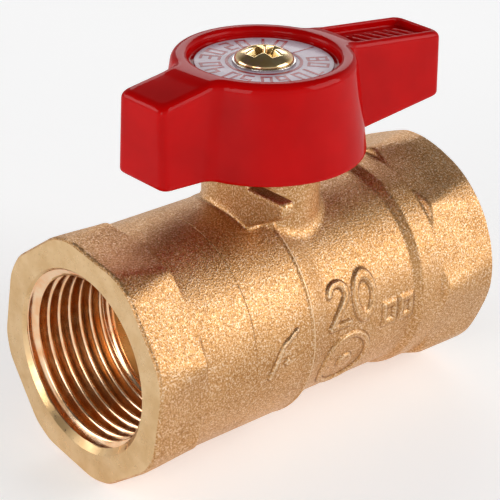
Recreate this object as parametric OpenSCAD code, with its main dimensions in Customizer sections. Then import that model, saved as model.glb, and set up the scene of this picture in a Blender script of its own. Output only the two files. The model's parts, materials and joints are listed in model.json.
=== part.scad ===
// Two-piece threaded ball valve with a winged handle.
// X is the flow axis, Z is the stem axis. The lowest wrench corner touches z = 0.
// The valve is drawn open: the handle lies along the pipe and the ball's bore along X.

/* [Ends] */
// Length from port face to port face
valve_len = 64; // [62:0.5:80]
// Distance across the inlet's wrench flats
inlet_flats_w = 33.7; // [32:0.1:44]
// Distance across the outlet's wrench flats
outlet_flats_w = 32.7; // [32:0.1:44]
// How far the inlet's turned corners stand out past its flats
inlet_corner_rise = 0.65; // [0.3:0.05:1.1]
// How far the outlet's turned corners stand out past its flats
outlet_corner_rise = 0.8; // [0.3:0.05:1.1]
// Length of the inlet's wrench end
inlet_hex_len = 8.4; // [6:0.1:12]
// Length of the outlet's wrench end
outlet_hex_len = 10.4; // [6:0.1:12]
// Turn of the inlet's wrench corners about the flow axis
inlet_turn = 31.5; // [0:0.5:44.5]
// Chamfer round the outlet's wrench end
outlet_chamfer = 0.7; // [0.4:0.1:1.6]
// Chamfer round the inlet's wrench end
inlet_chamfer = 0.3; // [0.2:0.1:1.6]

/* [Ports] */
// Diameter across the pipe thread's crests
port_d = 23.6; // [19:0.1:28.4]
// Length of the pipe thread
port_len = 14.5; // [10:0.5:15]
// Chamfer from the port face down to the thread's crests
mouth_chamfer = 1.55; // [0.5:0.05:1.6]
// How far the runout bore past the thread is under the crests
runout_step = 0.4; // [0.2:0.1:1]
// Length of the runout bore
runout_len = 1.5; // [0.5:0.5:2]

/* [Barrel] */
// Wall of the waist round the ball
waist_wall = 2; // [1.5:0.1:5]
// Wall of the barrel round the joint thread
barrel_wall = 2.6; // [2:0.1:5]
// Start of the barrel's taper down to the waist, from the stem axis
taper_start = 3.9; // [2:0.1:7]
// Length of that taper
taper_len = 4; // [2:0.1:5]
// Length of the collar beside the outlet's wrench end
collar_len = 3.8; // [2:0.1:5]
// Height of the collar over the waist
collar_rise = 0.8; // [0.4:0.1:2]

/* [Ball] */
// Diameter of the ball
ball_d = 24; // [20:0.1:28.8]
// Diameter of the flow bore
bore_d = 15; // [12:0.1:16.5]
// Gap between the ball and the body's cavity
cavity_gap = 1.3; // [0.8:0.1:2.5]
// Width of the driving slot
slot_w = 4.6; // [3:0.1:6]
// Brass left between the slot and the flow bore
slot_web = 1.4; // [0.8:0.1:2]

/* [Seats] */
// Width of a seat ring between its bore and its rim
seat_w = 3; // [2:0.1:3.4]
// Length of a seat ring along the pipe
seat_len = 4.6; // [3:0.1:5]
// Gap between a seat and the ball
seat_gap = 0.08; // [0.05:0.01:0.1]

/* [Joint] */
// How far the connector's nose ends behind the seat's front
nose_setback = 0.6; // [0.4:0.1:1.5]
// Length of the joint thread past the seal
joint_len = 5.4; // [4:0.1:6]
// Thickness of the joint seal's cord
seal_cord = 1.3; // [1:0.1:1.8]

/* [Boss] */
// Diameter of the stem boss
boss_d = 16.7; // [15:0.1:21]
// Height of the boss over the waist
boss_rise = 8.7; // [7:0.1:12]
// Thickness of the stop lug
lug_w = 2.4; // [2:0.1:4]
// Reach of the stop lug from the stem axis
lug_reach = 13.6; // [11:0.1:14]
// Height of the lug's top over the waist
lug_rise = 6; // [4:0.1:7]
// Height of the lug's tip
lug_tip_h = 2.2; // [1.5:0.1:3]
// Reach of the stop post on the lug, inside the handle
post_reach = 6.5; // [5.5:0.1:7]
// Height of the stop post over the waist
post_rise = 9.9; // [9:0.1:10.5]

/* [Stem] */
// Diameter of the stem
stem_d = 9.9; // [8:0.1:11]
// Running clearance round the stem
stem_gap = 0.05; // [0.02:0.01:0.1]
// How far the stem's shoulder stands out past the stem
shoulder_w = 1.25; // [0.8:0.05:1.5]
// Thickness of the shoulder
shoulder_h = 1.5; // [1:0.1:2.5]
// Thickness of the thrust washer
thrust_h = 1; // [0.6:0.1:2]
// Thickness of a stem ring's cord
ring_cord = 1.1; // [0.8:0.05:1.5]
// Height of the stem's turned part over the boss
stem_rise = 2; // [1.5:0.1:4]
// Distance across the driving flats
drive_w = 6.5; // [5:0.1:7.5]
// Diameter across the driving flats' round sides
drive_d = 8.6; // [7.6:0.1:9]
// Height of the driving flats
drive_h = 7.6; // [5:0.1:7.8]

/* [Handle] */
// Diameter of the hub's top
hub_top_d = 25.4; // [23:0.1:30]
// Diameter of the hub's bottom
hub_bottom_d = 29.4; // [28:0.1:35]
// Height of the hub
hub_h = 13.7; // [13:0.1:17]
// Gap between the handle's skirt and the lug's top
skirt_gap = 1.9; // [0.8:0.1:4]
// Diameter of the hollow under the hub
hollow_d = 24.2; // [23.4:0.1:26]
// Thickness of the handle's roof
roof_t = 2.5; // [2:0.1:4]
// Diameter of the recess for the label
recess_d = 20.8; // [18:0.1:22.4]
// Depth of that recess
recess_h = 1.45; // [0.8:0.05:2]
// Reach of the short wing from the stem axis
short_wing = 21.7; // [19:0.1:26]
// Reach of the long wing from the stem axis
long_wing = 30.7; // [26:0.1:31.5]
// Width of a wing at its top
wing_top_w = 9; // [7:0.1:11]
// Width of a wing at its bottom
wing_bottom_w = 10; // [8:0.1:12]
// Drop of the short wing's top from the hub to its end
short_drop = 1.35; // [0:0.1:3]
// Rise of the short wing's underside towards its end
short_lift = 0.4; // [0:0.1:4]
// Drop of the long wing's top from the hub to its end
long_drop = 1.95; // [0:0.1:3]
// Rise of the long wing's underside towards its end
long_lift = 1.8; // [0:0.1:4]
// Wall of a wing round its hollow
wing_wall = 2; // [1.5:0.1:3]
// Width of the rim round the long wing's top pocket
pocket_rim = 1; // [0.6:0.1:2]
// Depth of that pocket
pocket_h = 1.3; // [0.6:0.1:1.8]
// Gap between the handle's stop blocks and the stop post at either limit
stop_gap = 0.3; // [0.2:0.05:0.6]

/* [Screw and label] */
// Diameter of the label
label_d = 19.2; // [17:0.1:20.4]
// Thickness of the label
label_t = 0.25; // [0.15:0.05:0.5]
// Outside diameter of the washer
washer_d = 8.8; // [8:0.1:10]
// Thickness of the washer
washer_t = 0.3; // [0.2:0.1:1]
// Diameter of the screw head
head_d = 8.4; // [7:0.1:9]
// Height of the screw head
head_h = 1.7; // [1.6:0.1:3.2]
// Diameter of the screw's thread
screw_d = 4; // [3:0.5:5]
// Length of the screw under its head
screw_len = 9; // [7:0.5:9.5]

/* [Hidden] */
$fn = 96;
eps = 0.02;                 // overlap that joins two solids of one piece
cut = 1;                    // how far a cutting solid runs past a face
slide_gap = 0.05;           // gap between pieces that are slid together
clear = 0.3;                // gap between pieces that pass without touching
seat_step = 1.8;            // seat's front face, behind the ball's surface at the seat's rim
joint_depth = 0.5;          // depth of the joint thread
shoulder_lift = 0.7;        // stem shoulder's underside, over the ball
tang_gap = 0.1;             // gap between the tang and the slot's walls
tang_inset = 0.2;           // tang's ends, inside the stem's diameter
socket_wall = 2.4;          // wall of the handle's socket round the stem
wing_step = 0.2;            // wing's top, under the hub's top
wing_root = 2;              // how far a wing starts inside the hub's rim
wing_bevel = 0.6;           // bevel on a wing's end
pocket_hub_gap = 1.2;       // long wing's pocket, from the hub's rim
wrench_slope_h = 1;         // height of the slope behind a wrench end's corners
wrench_slope_len = 1.2;     // length of that slope
seam_bevel = 0.15;          // bevel at the joint's seam
collar_slope = 0.6;         // length of the slope up to the collar
lug_bevel = 0.4;            // bevel on the stop lug's tip
lug_haunch_h = 2.9;         // drop of the lug's underside from its tip to the boss
block_lift = 0.2;           // stop blocks' underside, over the hub's underside
block_overlap = 2;          // how far a stop block's sides run past the post
head_rim_share = 0.4;       // share of the screw head's height that is straight
cross_w = 1;                // width of the cross recess
cross_h = 1.5;              // depth of the cross recess
cross_share = 0.58;         // reach of the cross recess, as a share of the head's radius

inlet_corner_r = inlet_flats_w / 2 + inlet_corner_rise;
outlet_corner_r = outlet_flats_w / 2 + outlet_corner_rise;
// Height of the flow axis over the lowest point of the two wrench ends
axis_z = max(reach_down(inlet_flats_w, inlet_corner_r, inlet_turn), outlet_corner_r);

ball_r = ball_d / 2;
bore_r = bore_d / 2;
port_r = port_d / 2;
cavity_r = ball_r + cavity_gap;
waist_r = cavity_r + waist_wall;
collar_r = waist_r + collar_rise;
joint_r = cavity_r + joint_depth;
barrel_r = joint_r + barrel_wall;

seat_bore_r = bore_r + clear;
seat_r = seat_bore_r + seat_w;
seat_front = sqrt(pow(ball_r, 2) - pow(seat_r, 2)) + seat_step;
seat_back = seat_front + seat_len;
pocket_r = seat_r + slide_gap;
half_len = valve_len / 2;                                   // stem axis to port face

nose_x = seat_front + nose_setback;                         // end of the connector's nose
seal_groove_w = seal_cord * 1.3;
seam_x = nose_x + joint_len + seal_groove_w;                // where the connector meets the body
seal_r = joint_r - seal_cord / 2 - slide_gap;               // middle of the joint seal's cord
seal_x = seam_x - seal_groove_w / 2;

boss_r = boss_d / 2;
boss_top = axis_z + waist_r + boss_rise;
lug_top = axis_z + waist_r + lug_rise;
post_top = axis_z + waist_r + post_rise;
stem_r = stem_d / 2;
stem_bore_r = stem_r + stem_gap;
shoulder_r = stem_r + shoulder_w;
shoulder_z = axis_z + ball_r + shoulder_lift;               // shoulder's underside
thrust_z = shoulder_z + shoulder_h;
gland_z = thrust_z + thrust_h;                              // ceiling of the shoulder's recess
tang_w = slot_w - 2 * tang_gap;
tang_r = stem_r - tang_inset;
slot_z = axis_z + bore_r + slot_web;
tang_z = slot_z + clear;
ring_groove_r = stem_r - ring_cord;
ring_groove_h = ring_cord * 1.35;
ring_gap = (boss_top - gland_z) / 3;                        // spaces the two rings in the boss
ring_low_z = gland_z + ring_gap;
ring_high_z = gland_z + 2 * ring_gap;
stem_step_z = boss_top + stem_rise;                         // the handle sits on this step

skirt_z = lug_top + skirt_gap;                              // underside of the hub
hub_top = skirt_z + hub_h;
recess_z = hub_top - recess_h;
roof_z = recess_z - roof_t;
hub_top_r = hub_top_d / 2;
hub_bottom_r = hub_bottom_d / 2;
hollow_r = hollow_d / 2;
socket_r = stem_r + socket_wall;                            // handle's socket boss
wing_join_z = hub_top - wing_step;                             // wing's top where it meets the hub
label_z = recess_z;
washer_z = label_z + label_t;
head_z = washer_z + washer_t;
head_r = head_d / 2;
screw_r = screw_d / 2;
tap_r = screw_r + slide_gap;

// How far a wrench end reaches below the flow axis: to the end of its lowest turned corner.
function reach_down(flats, corner_r, turn) =
    let (off = min(turn % 45, 45 - turn % 45), half_arc = 22.5 - acos(flats / 2 / corner_r))
    corner_r * cos(max(0, off - half_arc));

// Puts a solid drawn round +Z onto the flow axis, with its +Z along +X.
module on_flow_axis() translate([0, 0, axis_z]) rotate([0, 90, 0]) children();

// Mirrors a solid of the outlet side onto the inlet side.
module inlet_side() mirror([1, 0, 0]) children();

// A cylinder along the flow axis from x1 to x2.
module flow_cyl(x1, x2, r) on_flow_axis() translate([0, 0, x1]) cylinder(h = x2 - x1, r = r);

// Wrench end: an octagon with turned corners, its face at +X chamfered.
module wrench_end(len, flats, corner_r, turn, chamfer) {
    x1 = half_len - len;
    on_flow_axis() intersection() {
        translate([0, 0, x1]) rotate([0, 0, turn])
            cylinder(h = len, r = flats / 2 / cos(22.5), $fn = 8);
        rotate_extrude() polygon([
            [0, x1], [corner_r - wrench_slope_h, x1], [corner_r, x1 + wrench_slope_len],
            [corner_r, half_len - chamfer], [corner_r - chamfer, half_len], [0, half_len]]);
    }
}

// Threaded port: mouth chamfer, crest bore and runout, open at +X.
module port_cut() {
    flow_cyl(half_len - port_len, half_len + cut, port_r);
    flow_cyl(half_len - port_len - runout_len, half_len, port_r - runout_step);
    on_flow_axis() translate([0, 0, half_len - mouth_chamfer])
        cylinder(h = mouth_chamfer + eps, r1 = port_r, r2 = port_r + mouth_chamfer + eps);
}

// Pocket for a seat and the flow bore behind it, on the outlet side.
module seat_cut() {
    flow_cyl(0, seat_back, pocket_r);
    flow_cyl(0, half_len, bore_r);
}

// Seat ring of the outlet side: a ring whose front is hollowed to the ball.
module seat() difference() {
    flow_cyl(seat_front, seat_back, seat_r);
    flow_cyl(seat_front - cut, seat_back + cut, seat_bore_r);
    translate([0, 0, axis_z]) sphere(r = ball_r + seat_gap);
}

// Round rubber ring about Z.
module cord_ring(r, cord) rotate_extrude() translate([r, 0]) circle(d = cord, $fn = 48);

// Round bar with two flats, standing on z = 0.
module flatted_bar(d, w, h) intersection() {
    cylinder(h = h, d = d);
    translate([-w / 2, -d, 0]) cube([w, 2 * d, h]);
}

module barrel() on_flow_axis() rotate_extrude() polygon([
    [0, -seam_x], [barrel_r - seam_bevel, -seam_x], [barrel_r, seam_bevel - seam_x],
    [barrel_r, -taper_start], [waist_r, taper_len - taper_start],
    [waist_r, half_len - outlet_hex_len - collar_len - collar_slope],
    [collar_r, half_len - outlet_hex_len - collar_len],
    [collar_r, half_len - cut], [0, half_len - cut]]);

// Stop lug: a straight bar beside the boss, whose root carries the stop post.
module stop_lug() translate([-boss_r, 0, 0]) rotate([90, 0, 90])
    linear_extrude(height = lug_w) polygon([
        [0, axis_z + cavity_r + eps], [0, post_top], [-post_reach, post_top], [-post_reach, lug_top],
        [lug_bevel - lug_reach, lug_top], [-lug_reach, lug_top - lug_bevel],
        [-lug_reach, lug_top - lug_tip_h], [-boss_r, lug_top - lug_tip_h - lug_haunch_h],
        [-cavity_r / 2, axis_z + cavity_r + eps]]);

module body() color("darkgoldenrod") difference() {
    union() {
        barrel();
        wrench_end(outlet_hex_len, outlet_flats_w, outlet_corner_r, 0, outlet_chamfer);
        translate([0, 0, axis_z]) cylinder(h = boss_top - axis_z, r = boss_r);
        stop_lug();
    }
    flow_cyl(-seam_x - cut, seat_front, cavity_r);
    flow_cyl(-seam_x - cut, -nose_x + clear, joint_r);
    seat_cut();
    port_cut();
    translate([0, 0, axis_z]) cylinder(h = gland_z - axis_z, r = shoulder_r + clear);
    translate([0, 0, axis_z]) cylinder(h = boss_top - axis_z + cut, r = stem_bore_r);
}

module end_connector() color("goldenrod") inlet_side() difference() {
    union() {
        wrench_end(inlet_hex_len, inlet_flats_w, inlet_corner_r, inlet_turn, inlet_chamfer);
        flow_cyl(seam_x, half_len - cut, barrel_r);
        flow_cyl(nose_x, seam_x + eps, joint_r - slide_gap);
    }
    difference() {
        flow_cyl(seam_x - seal_groove_w, seam_x, joint_r + cut);
        flow_cyl(seam_x - seal_groove_w - cut, seam_x + cut, joint_r - seal_cord - slide_gap);
    }
    seat_cut();
    port_cut();
}

module joint_seal() color("dimgray") inlet_side()
    on_flow_axis() translate([0, 0, seal_x]) cord_ring(seal_r, seal_cord);

module seat_inlet() color("white") inlet_side() seat();

module seat_outlet() color("white") seat();

module ball() color("silver") difference() {
    translate([0, 0, axis_z]) sphere(r = ball_r);
    flow_cyl(-ball_r - cut, ball_r + cut, bore_r);
    translate([-slot_w / 2, -ball_r - cut, slot_z]) cube([slot_w, 2 * (ball_r + cut), ball_r]);
}

module stem() color("khaki") difference() {
    union() {
        translate([0, 0, tang_z]) flatted_bar(2 * tang_r, tang_w, shoulder_z - tang_z + eps);
        translate([0, 0, shoulder_z]) cylinder(h = shoulder_h, r = shoulder_r);
        translate([0, 0, shoulder_z]) cylinder(h = stem_step_z - shoulder_z, r = stem_r);
        translate([0, 0, stem_step_z - eps]) flatted_bar(drive_d, drive_w, drive_h + eps);
    }
    for (z = [ring_low_z, ring_high_z]) translate([0, 0, z - ring_groove_h / 2]) difference() {
        cylinder(h = ring_groove_h, r = stem_r + cut);
        translate([0, 0, -cut]) cylinder(h = ring_groove_h + 2 * cut, r = ring_groove_r);
    }
    translate([0, 0, head_z - screw_len - cut]) cylinder(h = screw_len + 2 * cut, r = tap_r);
}

module stem_thrust_washer() color("whitesmoke") difference() {
    translate([0, 0, thrust_z]) cylinder(h = thrust_h, r = shoulder_r);
    translate([0, 0, thrust_z - cut]) cylinder(h = thrust_h + 2 * cut, r = stem_bore_r);
}

module stem_oring_lower() color("black")
    translate([0, 0, ring_low_z]) cord_ring(ring_groove_r + ring_cord / 2, ring_cord);

module stem_oring_upper() color("black")
    translate([0, 0, ring_high_z]) cord_ring(ring_groove_r + ring_cord / 2, ring_cord);

// Wing: its side outline, cut to the drafted cross-section.
module wing(reach, drop, lift) intersection() {
    rotate([90, 0, 0]) translate([0, 0, -wing_bottom_w]) linear_extrude(height = 2 * wing_bottom_w)
        polygon([[hub_top_r - wing_root, skirt_z], [hub_bottom_r, skirt_z],
                 [reach - wing_bevel, skirt_z + lift], [reach, skirt_z + lift + wing_bevel],
                 [reach, wing_join_z - drop - wing_bevel],
                 [reach - wing_bevel, wing_join_z - drop], [hub_top_r - wing_root, wing_join_z]]);
    rotate([90, 0, 90]) linear_extrude(height = reach + cut)
        polygon([[-wing_bottom_w / 2, skirt_z], [wing_bottom_w / 2, skirt_z],
                 [wing_top_w / 2, hub_top], [-wing_top_w / 2, hub_top]]);
}

// Hollow under a wing, between the hub's hollow and the wing's end wall.
module wing_hollow(reach, drop)
    translate([0, wing_wall - wing_top_w / 2, skirt_z - cut])
        cube([reach - wing_wall, wing_top_w - 2 * wing_wall,
              wing_join_z - drop - pocket_h - wing_wall - skirt_z + cut]);

// Stop blocks inside the hub: one meets the post's flank when the valve is open,
// the other meets the post's end when the handle is a quarter turn round.
module stop_blocks() intersection() {
    difference() {
        translate([0, 0, skirt_z + block_lift]) cylinder(h = roof_z - skirt_z, r = hollow_r + eps);
        translate([0, 0, skirt_z]) cylinder(h = hub_h, r = boss_r + clear);
    }
    union() {
        translate([-boss_r - stop_gap - hollow_r, -post_reach, skirt_z])
            cube([hollow_r, post_reach + block_overlap, hub_h]);
        translate([post_reach + stop_gap, -boss_r, skirt_z])
            cube([hollow_r, boss_r - block_overlap, hub_h]);
    }
}

module handle() color("red") difference() {
    union() {
        difference() {
            union() {
                translate([0, 0, skirt_z]) cylinder(h = hub_h, r1 = hub_bottom_r, r2 = hub_top_r);
                wing(long_wing, long_drop, long_lift);
                inlet_side() wing(short_wing, short_drop, short_lift);
            }
            translate([0, 0, skirt_z - cut]) cylinder(h = roof_z - skirt_z + cut, r = hollow_r);
            wing_hollow(long_wing, long_drop);
            inlet_side() wing_hollow(short_wing, short_drop);
        }
        translate([0, 0, stem_step_z]) cylinder(h = roof_z - stem_step_z + eps, r = socket_r);
        stop_blocks();
    }
    translate([0, 0, recess_z]) cylinder(h = recess_h + cut, d = recess_d);
    translate([0, 0, stem_step_z - cut])
        flatted_bar(drive_d + 2 * slide_gap, drive_w + 2 * slide_gap, drive_h + cut + clear);
    translate([0, 0, stem_step_z]) cylinder(h = hub_h, r = screw_r + clear);
    long_wing_pocket();
}

// Shallow pocket in the long wing's top, ending on an arc round the hub.
module long_wing_pocket() intersection() {
    rotate([90, 0, 0]) translate([0, 0, pocket_rim - wing_top_w / 2])
        linear_extrude(height = wing_top_w - 2 * pocket_rim)
            polygon([[hub_top_r, wing_join_z - pocket_h],
                     [long_wing - pocket_rim, wing_join_z - long_drop - pocket_h],
                     [long_wing - pocket_rim, hub_top + cut], [hub_top_r, hub_top + cut]]);
    difference() {
        translate([0, 0, skirt_z]) cylinder(h = hub_h + cut, r = 2 * long_wing);
        translate([0, 0, skirt_z - cut]) cylinder(h = hub_h + 3 * cut, r = hub_top_r + pocket_hub_gap);
    }
}

module label_disc() color("white") difference() {
    translate([0, 0, label_z]) cylinder(h = label_t, d = label_d);
    translate([0, 0, label_z - cut]) cylinder(h = label_t + 2 * cut, r = screw_r + clear);
}

module screw_washer() color("silver") difference() {
    translate([0, 0, washer_z]) cylinder(h = washer_t, d = washer_d);
    translate([0, 0, washer_z - cut]) cylinder(h = washer_t + 2 * cut, r = screw_r + clear);
}

// Domed head: a ball's cap over a short straight rim, with a cross recess.
module handle_screw() color("gold") difference() {
    rim_h = head_h * head_rim_share;
    dome_h = head_h - rim_h;
    dome_r = (pow(head_r, 2) + pow(dome_h, 2)) / (2 * dome_h);
    union() {
        intersection() {
            translate([0, 0, head_z]) cylinder(h = head_h, r = head_r);
            translate([0, 0, head_z + head_h - dome_r]) sphere(r = dome_r);
        }
        translate([0, 0, head_z - screw_len]) cylinder(h = screw_len + eps, r = screw_r);
    }
    for (turn = [0, 90]) translate([0, 0, head_z + head_h - cross_h]) rotate([0, 0, turn])
        translate([-head_r * cross_share, -cross_w / 2, 0])
            cube([2 * head_r * cross_share, cross_w, head_h]);
}

body();
end_connector();
joint_seal();
seat_inlet();
seat_outlet();
ball();
stem();
stem_thrust_washer();
stem_oring_lower();
stem_oring_upper();
handle();
label_disc();
screw_washer();
handle_screw();
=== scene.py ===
import json
import math

import bmesh
import bpy
import numpy as np
from mathutils import Matrix, Vector


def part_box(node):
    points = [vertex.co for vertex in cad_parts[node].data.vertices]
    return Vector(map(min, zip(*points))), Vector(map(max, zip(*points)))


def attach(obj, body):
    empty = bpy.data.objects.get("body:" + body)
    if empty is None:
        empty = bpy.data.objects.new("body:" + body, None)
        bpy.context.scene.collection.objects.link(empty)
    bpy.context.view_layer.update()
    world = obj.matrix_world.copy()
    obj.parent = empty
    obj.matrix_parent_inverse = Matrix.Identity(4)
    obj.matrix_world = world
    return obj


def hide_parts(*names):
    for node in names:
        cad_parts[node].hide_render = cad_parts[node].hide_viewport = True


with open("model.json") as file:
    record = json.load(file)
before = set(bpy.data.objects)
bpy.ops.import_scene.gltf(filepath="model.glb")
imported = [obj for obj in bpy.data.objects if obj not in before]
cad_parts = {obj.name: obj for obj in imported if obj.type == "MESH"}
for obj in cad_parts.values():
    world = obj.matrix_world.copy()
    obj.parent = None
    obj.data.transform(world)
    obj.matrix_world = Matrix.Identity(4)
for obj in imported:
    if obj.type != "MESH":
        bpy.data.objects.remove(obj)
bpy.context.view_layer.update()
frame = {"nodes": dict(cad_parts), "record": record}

# Shapes are worked out in millimetres from the valve's middle: x along the flow, z up along the
# stem, with z = 0 on the flow axis. mesh_object() puts them into the frame, in metres.
MM = 0.001


def box_mm(node):
    lo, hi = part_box(node)
    return np.array(lo) / MM - CENTRE, np.array(hi) / MM - CENTRE


PORT = next(m for m in frame["record"]["mounts"] if m["name"] == "outlet_port")
CENTRE = np.array([0.0, 0.0, PORT["pos_m"][2] / MM])

# ---------------------------------------------------------------- sizes from the CAD frame
BODY_LO, BODY_HI = box_mm("body")
FACE_X = BODY_HI[0]
SEAM_X = -BODY_LO[0]
CREST_R = PORT["dims"]["r_mm"]
BALL_R = box_mm("ball")[1][1]
SEAT_FRONT, SEAT_BACK = box_mm("seat_outlet")[0][0], box_mm("seat_outlet")[1][0]
SEAT_R = box_mm("seat_outlet")[1][1]
STEM_R = box_mm("stem_oring_lower")[1][1]
SHOULDER_R = box_mm("stem_thrust_washer")[1][1]
GLAND_Z = box_mm("stem_thrust_washer")[1][2]
HANDLE_LO, HANDLE_HI = box_mm("handle")
SKIRT_Z, HUB_TOP = HANDLE_LO[2], HANDLE_HI[2]
SHORT_REACH, LONG_REACH = -HANDLE_LO[0], HANDLE_HI[0]
LABEL_LO, LABEL_HI = box_mm("label_disc")
WASHER_LO, WASHER_HI = box_mm("screw_washer")
SCREW_LO, SCREW_HI = box_mm("handle_screw")

# ---------------------------------------------------------------- forged shapes
BARREL_R = 16.42
WAIST_R = 15.3
COLLAR_R = 16.15
STEP_X, STEP_H = -3.9, 0.4          # step where the barrel's taper starts
RIDGE_H, RIDGE_BACK = 0.14, 0.35    # small ridge on the step's high side
TAPER_END_X = 0.6
COLLAR_START_X, COLLAR_X = 16.3, 18.0
INLET_END_X, OUTLET_END_X = 23.6, 21.7
INLET_FLAT, INLET_FLAT_BACK = 16.85, 16.34      # flow axis to a flat, at the face and behind
OUTLET_FLAT, OUTLET_FLAT_BACK = 16.5, 16.0
INLET_CORNER_R, OUTLET_CORNER_R = 17.5, 17.15
INLET_NORMAL, OUTLET_NORMAL = 9.0, 22.5         # direction of the first flat, in degrees
INLET_CHAMFER, OUTLET_CHAMFER = 0.3, 0.65
SEAM_BEVEL = 0.09
BOSS_R, BOSS_TOP = 8.35, 24.0
LUG_T, LUG_REACH, LUG_TOP, LUG_TIP_LOW = 2.4, 13.6, 21.3, 19.1
LUG_HAUNCH_Y, LUG_HAUNCH_Z = 7.8, 16.1          # where the lug's slanted underside ends
POST_REACH, POST_TOP = 6.5, 25.2
STOCK = 0.7                         # forging left past a machined face, before it is cut

# ---------------------------------------------------------------- raised marks on the barrel
NUMBER_AT, SQUARES_AT, RING_AT = 76, 92, 113    # places round the barrel, in degrees from the top
NUMBER_W, NUMBER_H = 0.40, 0.46                 # half width and height of the strokes
RING_W, RING_H = 0.34, 0.42
SQUARE_W, SQUARE_H, SQUARE_HALF = 0.26, 0.36, 1.0
TICK_W, TICK_H, TICK_EDGE = 0.24, 0.34, 0.2
RING_X, RING_DOT_R, RING_DOT_H = 3.9, 1.2, 0.4

# ---------------------------------------------------------------- machined shapes
PITCH, GROOVE_H = 1.814, 1.44
THREAD_END_X = 17.5
RUNOUT_X, RUNOUT_R = 16.0, CREST_R - 0.4
MOUTH_R = CREST_R + 1.5
BORE_R = 7.5
CAVITY_R, JOINT_R = BALL_R + 1.3, BALL_R + 1.8
NOSE_X = SEAT_FRONT + 0.6
SEAL_GROOVE_W, SEAL_CORD = 1.69, 1.3
FIT = 0.05
SLOT_W, SLOT_Z = 4.6, BORE_R + 1.4

# ---------------------------------------------------------------- handle
HUB_TOP_R, HUB_LOW_R = 12.7, 14.65
WING_TOP_HALF, WING_LOW_HALF = 4.5, 5.0
WING_STEP, SHORT_DROP, LONG_DROP = 0.2, 1.35, 1.95
SHORT_LIFT, LONG_LIFT = 0.4, 1.8
RECESS_R, RECESS_Z = 10.4, LABEL_LO[2]
ROOF_T, HOLLOW_R, WING_WALL = 2.5, 12.1, 2.0
POCKET_RIM, POCKET_H, POCKET_START_R = 1.0, 1.3, 13.9
SOCKET_R, SOCKET_Z = 7.35, 26.0
DRIVE_R, DRIVE_HALF, DRIVE_TOP = 4.35, 3.3, 33.9
CROSS_H = 1.45                      # depth of the screw's cross recess
STOP_GAP, STOP_BLOCK_LIFT = 0.3, 0.2

GRID = 0.22
SCREW_GRID = 0.07
ROUND = 192


# ================================================================ distance functions
def smin(a, b, k):
    """The smaller of two distances, with a fillet about k wide between them."""
    h = np.maximum(k - np.abs(a - b), 0) / k
    return np.minimum(a, b) - h * h * k / 4


def smax(a, b, k):
    return -smin(-a, -b, k)


def between(shape, x, start, end):
    """Ends a shape a little past its two machined faces, so that it is a closed solid."""
    return np.maximum(shape, np.maximum(start - STOCK - x, x - end - STOCK))


def ease(t, start, end):
    """0 before start, 1 after end, smooth between them."""
    t = np.clip((t - start) / (end - start), 0, 1)
    return t * t * (3 - 2 * t)


def around(y, z):
    """Angle about the flow axis in degrees, from the top towards -Y."""
    return np.degrees(np.arctan2(-y, z))


def octagon(y, z, first_normal):
    """Distance from the flow axis along the nearest flat's normal."""
    off = (around(y, z) - first_normal + 22.5) % 45 - 22.5
    return np.hypot(y, z) * np.cos(np.radians(off))


def segment(u, v, a, b):
    """Distance to a straight stroke from a to b."""
    du, dv = b[0] - a[0], b[1] - a[1]
    t = np.clip(((u - a[0]) * du + (v - a[1]) * dv) / (du * du + dv * dv), 0, 1)
    return np.hypot(u - a[0] - t * du, v - a[1] - t * dv)


def strokes(u, v, points):
    return np.minimum.reduce([segment(u, v, a, b) for a, b in zip(points, points[1:])])


def ring(u, v, centre, rx, ry):
    """Rough distance to an ellipse's line."""
    du, dv = (u - centre[0]) / rx, (v - centre[1]) / ry
    return np.abs(np.hypot(du, dv) - 1) * min(rx, ry)


def raised(distance, half_width, height, edge=0.3):
    return height * (1 - ease(distance, half_width - edge / 2, half_width + edge))


def cast_marks(x, angle):
    """Height of the generic marks on the barrel's front: a size number, squares, a ring, a tick."""
    v = -np.radians(angle) * WAIST_R
    number_v, squares_v, ring_v = (-math.radians(a) * WAIST_R for a in (NUMBER_AT, SQUARES_AT, RING_AT))
    bow = [(1.7 + 1.6 * math.cos(t), number_v + 1.4 + 1.6 * math.sin(t))
           for t in np.radians(np.arange(165, -50, -20))]
    two = bow + [(0.1, number_v - 3.1), (3.5, number_v - 3.1)]
    height = raised(strokes(x, v, two), NUMBER_W, NUMBER_H)
    height = np.maximum(height, raised(ring(x, v, (6.7, number_v), 1.75, 3.05), NUMBER_W, NUMBER_H))
    height = np.maximum(height, raised(ring(x, v, (RING_X, ring_v), 4.3, 4.6), RING_W, RING_H))
    height = np.maximum(height, raised(np.hypot(x - RING_X, v - ring_v), RING_DOT_R, RING_DOT_H))
    for square_x in (11.6, 15.0):
        square = np.maximum(np.abs(x - square_x), np.abs(v - squares_v) * 0.7)
        height = np.maximum(height, raised(np.abs(square - SQUARE_HALF), SQUARE_W, SQUARE_H))
    tick = [(-7.3, -20.9), (-10.0, -22.4), (-12.3, -26.1)]
    height = np.maximum(height, raised(strokes(x, v, tick), TICK_W, TICK_H, TICK_EDGE))
    return np.maximum(height, raised(np.hypot(x + 9.2, v + 24.7), 0.42, TICK_H, TICK_EDGE))


def barrel_radius(x):
    lower = BARREL_R - STEP_H
    ridge = RIDGE_H * (1 - ease(np.abs(x - STEP_X + RIDGE_BACK), 0.1, 0.35))
    r = BARREL_R + ridge - STEP_H * ease(x, STEP_X - 0.1, STEP_X + 0.1)
    r = r - (lower - WAIST_R) * ease(x, STEP_X, TAPER_END_X)
    return r + (COLLAR_R - WAIST_R) * ease(x, COLLAR_START_X, COLLAR_X)


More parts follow.
